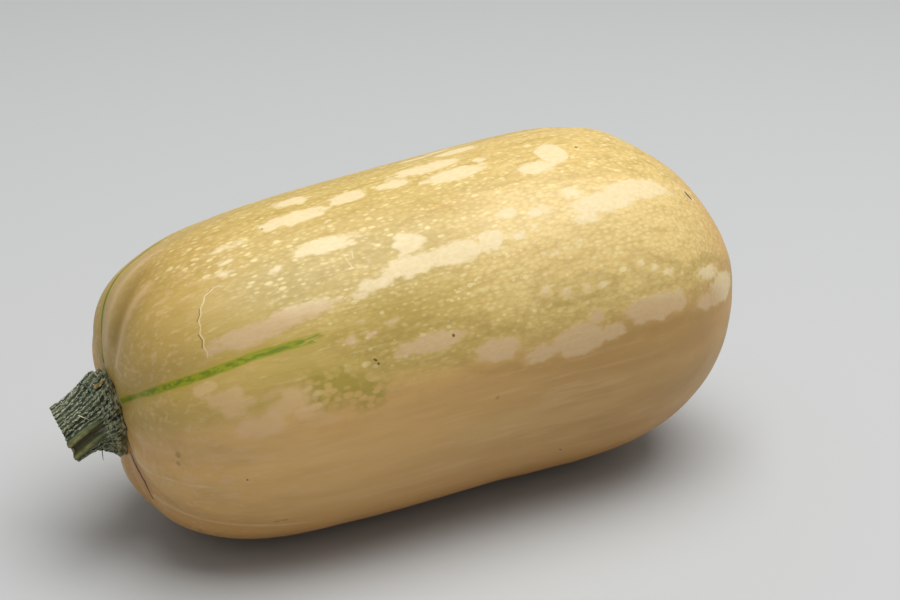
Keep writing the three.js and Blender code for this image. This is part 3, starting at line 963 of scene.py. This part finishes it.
# %% Sizes of the stem, in millimetres and degrees
STEM = {"Length": 16.9, "Cut radius": 8.7, "Neck radius": 8.1}
STEM_FLARE = {"extra": 2.6, "reach": 4.6}
STEM_SHOULDER = {"angle": math.radians(68), "extra": 4.6, "reach": 14.0}
STEM_KNOB = {"angle": math.radians(70), "at": 5.8, "from axis": 11.0, "radius": 5.2, "height": 3.5}
STEM_FOOT = {"angle": math.radians(252), "at": 1.0, "extra": 1.5, "reach": 2.5}
SMALL_KNOBS = {"at": 3.0, "height": 0.6, "reach": 2.6}
STEM_BEND = {"aside": 1.0, "down": 3.0}
STEM_CUT_LEAN = {"aside": 0.07, "down": -0.30}
STEM_PLACE = {"aside": 0.2, "up": -1.55}
STEM_RIDGES = 10
FIRST_RIDGE = math.radians(64.5)
RIDGE_WIND = math.radians(2.2)
STEM_RIDGE = {"main": 0.03, "every": 0.055}
CUT_FACE_DOME = 0.05
PITH_RADIUS = 2.4
PITH_DEPTH = 0.7
STEM_SINK = 6.0

CUT_RINGS = 0.16
UNDERSIDE_RINGS = 0.95
FINE_RIBS = {"count": 41, "height": 0.14, "bend": 2.8, "wave length": 3.4}
FOOT_LUMPS = {"wave length": 3.0, "squeeze": 1.5, "height": 1.4, "sink": 0.35, "at": 1.5, "reach": 5.0}
BARK_LUMPS = {"wave length": 1.3, "height": 0.34}
# Angle at the cut and how many degrees it turns back for each mm down the stem
SMOOTH_RIDGES = [(172.5, 1.9), (203.5, 2.0)]
SMOOTH_FURROW = (189.5, 2.1)
SMOOTH_RIDGE = {"height": 0.7, "half width": 8.0, "furrow depth": 0.9, "furrow half width": 9.0}
SMOOTH_FROM_HEIGHT = 6.0

STEM_INPUTS = {"Length": "NodeSocketFloat", "Cut radius": "NodeSocketFloat",
               "Neck radius": "NodeSocketFloat", "Sides": "NodeSocketInt", "Rings": "NodeSocketInt",
               "Dashes per mm2": "NodeSocketFloat", "Seed": "NodeSocketInt", "Place": "NodeSocketVector",
               "Bark": "NodeSocketMaterial", "Cork": "NodeSocketMaterial"}


# %% The rule of the stem
def stem_outline(size, station):
    """Height over the fruit and plain radius, from the middle of the cut face to the hidden underside."""
    turn = calculate("ARCCOSINE", station)
    down = turn / math.pi
    face = calculate("MINIMUM", down / CUT_RINGS, 1.0)
    past_cut = calculate("MAXIMUM", down - CUT_RINGS, 0.0)
    side = calculate("MINIMUM", past_cut / (UNDERSIDE_RINGS - CUT_RINGS), 1.0)
    under = calculate("MAXIMUM", down - UNDERSIDE_RINGS, 0.0) / (1 - UNDERSIDE_RINGS)
    height = size["Length"] - side * (size["Length"] + STEM_SINK) + (1.0 - face * face) * CUT_FACE_DOME
    above = calculate("MAXIMUM", height, 0.0)
    share = calculate("MINIMUM", above / size["Length"], 1.0)
    shaft = size["Neck radius"] + (size["Cut radius"] - size["Neck radius"]) * share
    full = shaft + bell(above, STEM_FLARE["reach"]) * STEM_FLARE["extra"]
    return height, above, share, full, full * face * (1.0 - under), face


def foot_forms(height, above, angle, main_wave):
    """How far the shoulder, the knobs and the lower foot stand out, in millimetres."""
    upper = calculate("MAXIMUM", calculate("COSINE", angle - STEM_SHOULDER["angle"]), 0.0)
    lower = calculate("MAXIMUM", calculate("COSINE", angle - STEM_FOOT["angle"]), 0.0)
    apart = 2.0 - calculate("COSINE", angle - STEM_KNOB["angle"]) * 2.0
    from_knob = (height - STEM_KNOB["at"]) ** 2 + apart * STEM_KNOB["from axis"] ** 2
    crest = calculate("MAXIMUM", main_wave, 0.0)
    forms = upper * upper * bell(above, STEM_SHOULDER["reach"]) * STEM_SHOULDER["extra"]
    forms = forms + calculate("EXPONENT", from_knob / -(STEM_KNOB["radius"] ** 2)) * STEM_KNOB["height"]
    knobs = crest * crest * bell(height - SMALL_KNOBS["at"], SMALL_KNOBS["reach"])
    forms = forms + knobs * SMALL_KNOBS["height"]
    return forms + lower * lower * bell(above - STEM_FOOT["at"], STEM_FOOT["reach"]) * STEM_FOOT["extra"]


def stem_shape(tree, size, station, angle):
    """Where a point of the ball lies on the stem, with its place on the plain stem."""
    height, above, share, full, plain, face = stem_outline(size, station)
    wound = angle - FIRST_RIDGE + (size["Length"] - above) * RIDGE_WIND
    main_wave = calculate("COSINE", wound * (STEM_RIDGES / 2))
    ridges = main_wave * STEM_RIDGE["main"] + calculate("COSINE", wound * STEM_RIDGES) * STEM_RIDGE["every"]
    radius = plain * (1.0 + ridges + foot_forms(height, above, angle, main_wave) / full)
    aside = calculate("COSINE", angle) * radius
    up = calculate("SINE", angle) * radius
    bend = share * share
    lean = bend * (aside * STEM_CUT_LEAN["aside"] + up * STEM_CUT_LEAN["down"])
    x = lean - height - FRUIT["Length"] / 2
    y = aside + bend * STEM_BEND["aside"] + STEM_PLACE["aside"]
    z = up - bend * STEM_BEND["down"] + STEM_PLACE["up"]
    lay = {"X": height, "Y": calculate("COSINE", angle) * plain, "Z": calculate("SINE", angle) * plain}
    return (add(tree, "ShaderNodeCombineXYZ", {"X": x, "Y": y, "Z": z}),
            add(tree, "ShaderNodeCombineXYZ", lay), face)


def stem_bearings(tree, lay):
    """Height, radius and angle in degrees from 0 to 360 of a place on the plain stem."""
    spot = add(tree, "ShaderNodeSeparateXYZ", {0: lay})
    radius = calculate("SQRT", spot["Y"] * spot["Y"] + spot["Z"] * spot["Z"])
    degrees = calculate("ARCTAN2", spot["Z"] * -1.0, spot["Y"] * -1.0) * math.degrees(1) + 180.0
    return spot["X"], radius, degrees


def rib_wave(tree, lay, height, degrees):
    """The fine ribs from -1 to 1. They wind round the stem with its ridges and waver a little."""
    wound = degrees + (STEM["Length"] - height) * math.degrees(RIDGE_WIND)
    waver = noise(tree, lay, FINE_RIBS["wave length"]) * FINE_RIBS["bend"]
    return calculate("SINE", wound * math.radians(FINE_RIBS["count"]) + waver)


# %% [markdown]
# The bark has relief of its own: fine ribs along the stem, small lumps all over, larger lumps round the
# foot, and on the side below two smooth ridges with a deep furrow between, which turn a little round the
# stem.

# %% Relief of the bark
def smooth_side(height, degrees):
    """Masks of the two smooth ridges and of the furrow between them."""
    down = STEM["Length"] - height
    shown = ramp(height, SMOOTH_FROM_HEIGHT - 3, SMOOTH_FROM_HEIGHT + 5)
    ridge = 0.0
    for at_cut, turn in SMOOTH_RIDGES:
        ridge = ridge + bell(degrees + down * turn - at_cut, SMOOTH_RIDGE["half width"])
    at_cut, turn = SMOOTH_FURROW
    furrow = bell(degrees + down * turn - at_cut, SMOOTH_RIDGE["furrow half width"])
    return calculate("MINIMUM", ridge, 1.0) * shown, furrow * shown


def bark_relief(tree, lay, face):
    """The relief of the bark as an offset along each point's normal."""
    height, radius, degrees = stem_bearings(tree, lay)
    ridge, furrow = smooth_side(height, degrees)
    rough = 1.0 - calculate("MINIMUM", ridge + furrow, 1.0)
    ribs = rib_wave(tree, lay, height, degrees) * FINE_RIBS["height"]
    small = (noise(tree, stretched(tree, lay, 0.6), BARK_LUMPS["wave length"], 3.0) - 0.5) * 2
    squeezed = stretched(tree, lay, FOOT_LUMPS["squeeze"])
    lumps = (noise(tree, squeezed, FOOT_LUMPS["wave length"], 1.0) - 0.5) * 2
    at_foot = bell(height - FOOT_LUMPS["at"], FOOT_LUMPS["reach"])
    lumps = (lumps - FOOT_LUMPS["sink"]) * at_foot * FOOT_LUMPS["height"]
    relief = (ribs + small * BARK_LUMPS["height"]) * rough + lumps
    relief = relief + ridge * SMOOTH_RIDGE["height"] - furrow * SMOOTH_RIDGE["furrow depth"]
    pith = ramp(radius, PITH_RADIUS + 0.6, PITH_RADIUS) * PITH_DEPTH
    relief = relief * ramp(face, 0.8, 1.0) + small * 0.12 - pith
    normal = add(tree, "GeometryNodeInputNormal")
    return add(tree, "ShaderNodeVectorMath", {0: normal, "Scale": relief}, operation="SCALE")


def shaped_stem(tree, size):
    """The stem in millimetres, with its plain place kept as the attribute lay."""
    ball = add(tree, "GeometryNodeMeshUVSphere", {"Segments": size["Sides"], "Rings": size["Rings"]})
    spot = add(tree, "ShaderNodeSeparateXYZ", {0: add(tree, "GeometryNodeInputPosition")})
    station = calculate("MAXIMUM", calculate("MINIMUM", spot["Z"] * -1.0, 1.0), -1.0)
    angle = calculate("ARCTAN2", spot["Y"], spot["X"])
    place, lay, face = stem_shape(tree, size, station, angle)
    for name, kind, value in (("lay", "FLOAT_VECTOR", lay), ("face", "FLOAT", face)):
        store = {"Geometry": ball, "Name": name, "Value": value}
        ball = add(tree, "GeometryNodeStoreNamedAttribute", store, data_type=kind)
    shaped = add(tree, "GeometryNodeSetPosition", {"Geometry": ball, "Position": place})
    lay = add(tree, "GeometryNodeInputNamedAttribute", {"Name": "lay"}, data_type="FLOAT_VECTOR")
    face = add(tree, "GeometryNodeInputNamedAttribute", {"Name": "face"}, data_type="FLOAT")
    offset = bark_relief(tree, lay, face)
    return add(tree, "GeometryNodeSetPosition", {"Geometry": shaped, "Offset": offset}), lay, face


def bark_tree():
    tree, size = new_tree("Grown stem", STEM_INPUTS)
    shaped, _, _ = shaped_stem(tree, size)
    return finish_tree(tree, settle(tree, shaped, size["Place"]), size["Bark"])


# %% [markdown]
# Pale corky dashes stand in rows along the ribs. They are one small pebble, set hundreds of times by
# points that are strewn on the bark. Each is turned to lie along the stem and given a random length.

# %% Corky dashes
DASH_LEAST = (0.28, 0.12, 0.07)
DASH_MOST = (0.85, 0.22, 0.15)
DASH_GAP = 0.50
DASH_SLANT = 0.17
DASH_BALL = {"Segments": 8, "Rings": 5}


def dash_tree():
    tree, size = new_tree("Corky dashes", STEM_INPUTS)
    shaped, lay, face = shaped_stem(tree, size)
    height, radius, degrees = stem_bearings(tree, lay)
    ridge, furrow = smooth_side(height, degrees)
    rough = calculate("LESS_THAN", ridge + furrow, 0.25) * calculate("GREATER_THAN", face, 0.999)
    crest = calculate("GREATER_THAN", rib_wave(tree, lay, height, degrees), -0.3)
    wanted = rough * crest * calculate("GREATER_THAN", height, 1.6)
    strew = {"Mesh": shaped, "Selection": wanted, "Distance Min": DASH_GAP,
             "Density Max": size["Dashes per mm2"], "Seed": size["Seed"]}
    points = add(tree, "GeometryNodeDistributePointsOnFaces", strew, distribute_method="POISSON")
    turn = degrees * math.radians(1)
    sideways = radius * -RIDGE_WIND
    y = calculate("SINE", turn) * sideways * -1.0
    z = calculate("COSINE", turn) * sideways + DASH_SLANT
    way = add(tree, "ShaderNodeCombineXYZ", {"X": 1.0, "Y": y, "Z": z})
    aim = {"Rotation": points["Rotation"], "Vector": way}
    along = add(tree, "FunctionNodeAlignRotationToVector", aim, axis="X", pivot_axis="Z")
    pebble = add(tree, "GeometryNodeMeshUVSphere", DASH_BALL)
    spread = {"Min": DASH_LEAST, "Max": DASH_MOST, "Seed": size["Seed"]}
    scale = add(tree, "FunctionNodeRandomValue", spread, data_type="FLOAT_VECTOR")
    setting = {"Points": points, "Instance": pebble, "Rotation": along, "Scale": scale}
    dashes = add(tree, "GeometryNodeInstanceOnPoints", setting)
    return finish_tree(tree, settle(tree, dashes, size["Place"]), size["Cork"])


# %% [markdown]
# Both trees run on the same sizes, so that every dash sits on the bark that it grew from.

# %% Grow the stem
def new_material(name):
    material = bpy.data.materials.new(name)
    material.use_nodes = True
    return material


bark = new_material("Butternut stem bark, ribbed and green")
cork = new_material("Dry cork of the stem")
stem_sizes = dict(STEM)
stem_sizes.update({"Sides": 300, "Rings": 240, "Dashes per mm2": 3.4, "Seed": 3,
                   "Place": fruit_place, "Bark": bark, "Cork": cork})
stem = grow("stem_bark", bark_tree(), stem_sizes)
dashes = grow("cork_dashes", dash_tree(), stem_sizes)
dash_faces = DASH_BALL["Segments"] * DASH_BALL["Rings"]
dash_count = len(dashes.data.polygons) // dash_faces
print("The stem has", len(stem.data.polygons), "faces and", dash_count, "dashes")

# %% [markdown]
# Bits that cling to the stem: a flake of dry leaf, a straw, a green thread and a stiff dark bristle. All
# four are one form, a closed tube along a few points that gets thinner and flatter as its numbers say.
# The points are found on the bark itself, by their height over the fruit and their angle round the stem.

# %% Bits on the stem
TUBE_SIDES = 8
# Height over the fruit in mm, angle in degrees, how far off the bark in mm, radius in mm
BITS = {
    "dry_flake": [(1.5, 98, 0.4, 0.2), (2.3, 98, 0.7, 0.95), (3.5, 98, 0.85, 1.1), (4.7, 97.5, 0.75, 0.85),
                  (5.4, 97, 0.4, 0.3)],
    "straw": [(11.6, 125, 0.35, 0.1), (10.4, 131.5, 0.4, 0.17), (9.2, 140, 0.35, 0.1)],
    "thread": [(8.6, 70, 0.2, 0.12), (7.9, 79, 0.5, 0.2), (7.1, 88, 0.6, 0.2), (6.3, 96, 0.5, 0.17),
               (5.4, 104, 0.2, 0.12)],
    "bristle": [(6.6, 238, -0.1, 0.17), (6.9, 246, 1.2, 0.16), (7.0, 250, 2.6, 0.13), (6.8, 252, 3.8, 0.06)]}
BIT_FLATNESS = {"dry_flake": 0.28}


def bark_spot(height, degrees, off):
    """A point over the bark, and the direction out of it."""
    lay = values_of(stem, "lay", 3)
    radius = np.hypot(lay[:, 1], lay[:, 2])
    across = radius * math.cos(math.radians(degrees))
    above = radius * math.sin(math.radians(degrees))
    miss = (lay[:, 0] - height) ** 2 + (lay[:, 1] - across) ** 2 + (lay[:, 2] - above) ** 2
    vertex = stem.data.vertices[int(np.argmin(np.where(radius > 5.0, miss, 1e9)))]
    outward = np.array(vertex.normal)
    return np.array(vertex.co) + outward * off * MM, outward


def make_bit(name, steps, flatness, material):
    """A closed tube through points over the bark, flattened towards the bark."""
    spots = [bark_spot(*step[:3]) for step in steps]
    corners = []
    for index, (spot, outward) in enumerate(spots):
        ahead = spots[min(index + 1, len(spots) - 1)][0] - spots[max(index - 1, 0)][0]
        side = np.cross(ahead, outward)
        side /= np.linalg.norm(side)
        up = np.cross(side, ahead)
        up *= flatness / np.linalg.norm(up)
        for corner in range(TUBE_SIDES):
            turn = 2 * math.pi * corner / TUBE_SIDES
            ring = side * math.cos(turn) + up * math.sin(turn)
            corners.append(spot + ring * steps[index][3] * MM)
    faces = [list(range(TUBE_SIDES)), list(range(len(corners) - TUBE_SIDES, len(corners)))]
    for low in range(0, len(corners) - TUBE_SIDES, TUBE_SIDES):
        for corner in range(TUBE_SIDES):
            after = (corner + 1) % TUBE_SIDES
            faces.append([low + corner, low + after, low + after + TUBE_SIDES, low + corner + TUBE_SIDES])
    mesh = bpy.data.meshes.new(name)
    mesh.from_pydata(corners, [], faces)
    solid = bmesh.new()
    solid.from_mesh(mesh)
    bmesh.ops.recalc_face_normals(solid, faces=solid.faces)
    solid.to_mesh(mesh)
    solid.free()
    mesh.shade_smooth()
    mesh.materials.append(material)
    bit = bpy.data.objects.new(name, mesh)
    bpy.context.scene.collection.objects.link(bit)
    return bit


bit_materials = {"dry_flake": new_material("Dry leaf skin"),
                 "straw": new_material("Straw"),
                 "thread": new_material("Green plant thread"),
                 "bristle": new_material("Stiff dark bristle")}
bits = [make_bit(name, steps, BIT_FLATNESS.get(name, 1.0), bit_materials[name])
        for name, steps in BITS.items()]
print("Clinging to the stem:", [bit.name for bit in bits])

# %% [markdown]
# ## Bark and cork
# The bark is dark green, almost black in its furrows and paler where its ribs stand up, rough and without
# shine. The two smooth ridges are olive, with a brown furrow. The cut face has dried to pale cork with
# fine rings. The dashes are the same cork, greyed by weather.

# %% Colours of the stem
STEM_COLOURS = {
    "bark": "#3F4630", "bark light": "#747C5E", "bark dark": "#1C2112", "olive ridge": "#586030",
    "ridge crest": "#928A5A", "brown furrow": "#4C4327", "cut cork": "#B7A57C",
    "cut dark": "#8B7A50", "dash": "#B2B79C", "foot": "#6E6030", "wrinkle": "#A9A684",
    "flake": "#B0905F", "straw": "#E6DCB0", "thread": "#44785F", "bristle": "#23261E"}
BARK_ROUGHNESS = 0.78
RIND_COLOURS.update(STEM_COLOURS)


def build_bark(tree):
    shader = tree.nodes["Principled BSDF"]
    lay = read(tree, "lay", "Vector")
    height, radius, degrees = stem_bearings(tree, lay)
    ridge, furrow = smooth_side(height, degrees)
    ribs = rib_wave(tree, lay, height, degrees)
    blotch = noise(tree, stretched(tree, lay, 0.5), 1.1, 4.0)
    colour = mix(ramp(blotch, 0.36, 0.66), "bark dark", "bark")
    colour = mix(ramp(ribs * 0.5 + blotch, 0.55, 1.1) * 0.75, colour, "bark light")
    foot = ramp(height, 4.0, 0.5) * ramp(noise(tree, lay, 2.6), 0.42, 0.62)
    lower_foot = ramp(height, 5.0, 1.5) * ramp(degrees, 185.0, 205.0) * ramp(degrees, 245.0, 225.0)
    colour = mix(calculate("MAXIMUM", foot * 0.6, lower_foot * 0.8), colour, "foot")
    wrinkle = ramp(noise(tree, stretched(tree, lay, 2.4), 2.2, 3.0), 0.50, 0.62) * ramp(height, 7.0, 3.0)
    colour = mix(wrinkle * 0.7, colour, "wrinkle")
    colour = mix(ridge * 0.85, colour, "olive ridge")
    colour = mix(ramp(ridge, 0.72, 1.0) * ramp(blotch, 0.3, 0.6) * 0.7, colour, "ridge crest")
    colour = mix(furrow * 0.8, colour, "brown furrow")
    ring = ramp(calculate("SINE", radius * 2.6 + blotch * 3.0), -0.4, 0.9)
    cut = ramp(read(tree, "face"), 0.985, 0.93)
    dry = mix(ring * 0.8, "cut cork", "cut dark")
    dry = mix(ramp(noise(tree, lay, 0.9, 3.0), 0.52, 0.66) * 0.7, dry, "bark")
    dry = mix(ramp(radius, PITH_RADIUS + 0.5, PITH_RADIUS - 0.2) * 0.7, dry, "brown furrow")
    colour = mix(cut, colour, dry)
    tree.links.new(colour.socket, shader.inputs["Base Color"])
    shader.inputs["Roughness"].default_value = BARK_ROUGHNESS
    grain = noise(tree, stretched(tree, lay, 0.4), 0.5, 3.0)
    bump = add(tree, "ShaderNodeBump", {"Height": grain, "Distance": 0.25 * MM, "Strength": 0.8})
    tree.links.new(bump.socket, shader.inputs["Normal"])


def build_plain(tree, light, dark, wave_length, roughness):
    """A matt material that wavers between two colours on the piece's own coordinates."""
    shader = tree.nodes["Principled BSDF"]
    place = add(tree, "ShaderNodeTexCoord", output="Object")
    mottle = noise(tree, place, wave_length * MM, 3.0)
    colour = mix(ramp(mottle, 0.35, 0.65), dark, light)
    tree.links.new(colour.socket, shader.inputs["Base Color"])
    shader.inputs["Roughness"].default_value = roughness
    bump = add(tree, "ShaderNodeBump", {"Height": mottle, "Distance": 0.1 * MM, "Strength": 0.6})
    tree.links.new(bump.socket, shader.inputs["Normal"])


build_bark(bark.node_tree)
build_plain(cork.node_tree, "dash", "bark light", 0.8, 0.85)
for name, light, dark in (("dry_flake", "flake", "foot"), ("straw", "straw", "cut cork"),
                          ("thread", "thread", "bark"), ("bristle", "bristle", "bark dark")):
    build_plain(bit_materials[name].node_tree, light, dark, 1.5, 0.7)
print("Bark, cork and the bits are mixed")

# %% [markdown]
# ## Bodies
# Everything rides on the one body of the frame. The rind takes the place of the plain fruit, and the bark
# with its dashes and bits takes the place of the plain stem.

# %% Bodies
for piece in (stem, dashes, *bits):
    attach(piece, "root")
    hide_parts("stem")
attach(fruit, "root")
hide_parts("fruit")
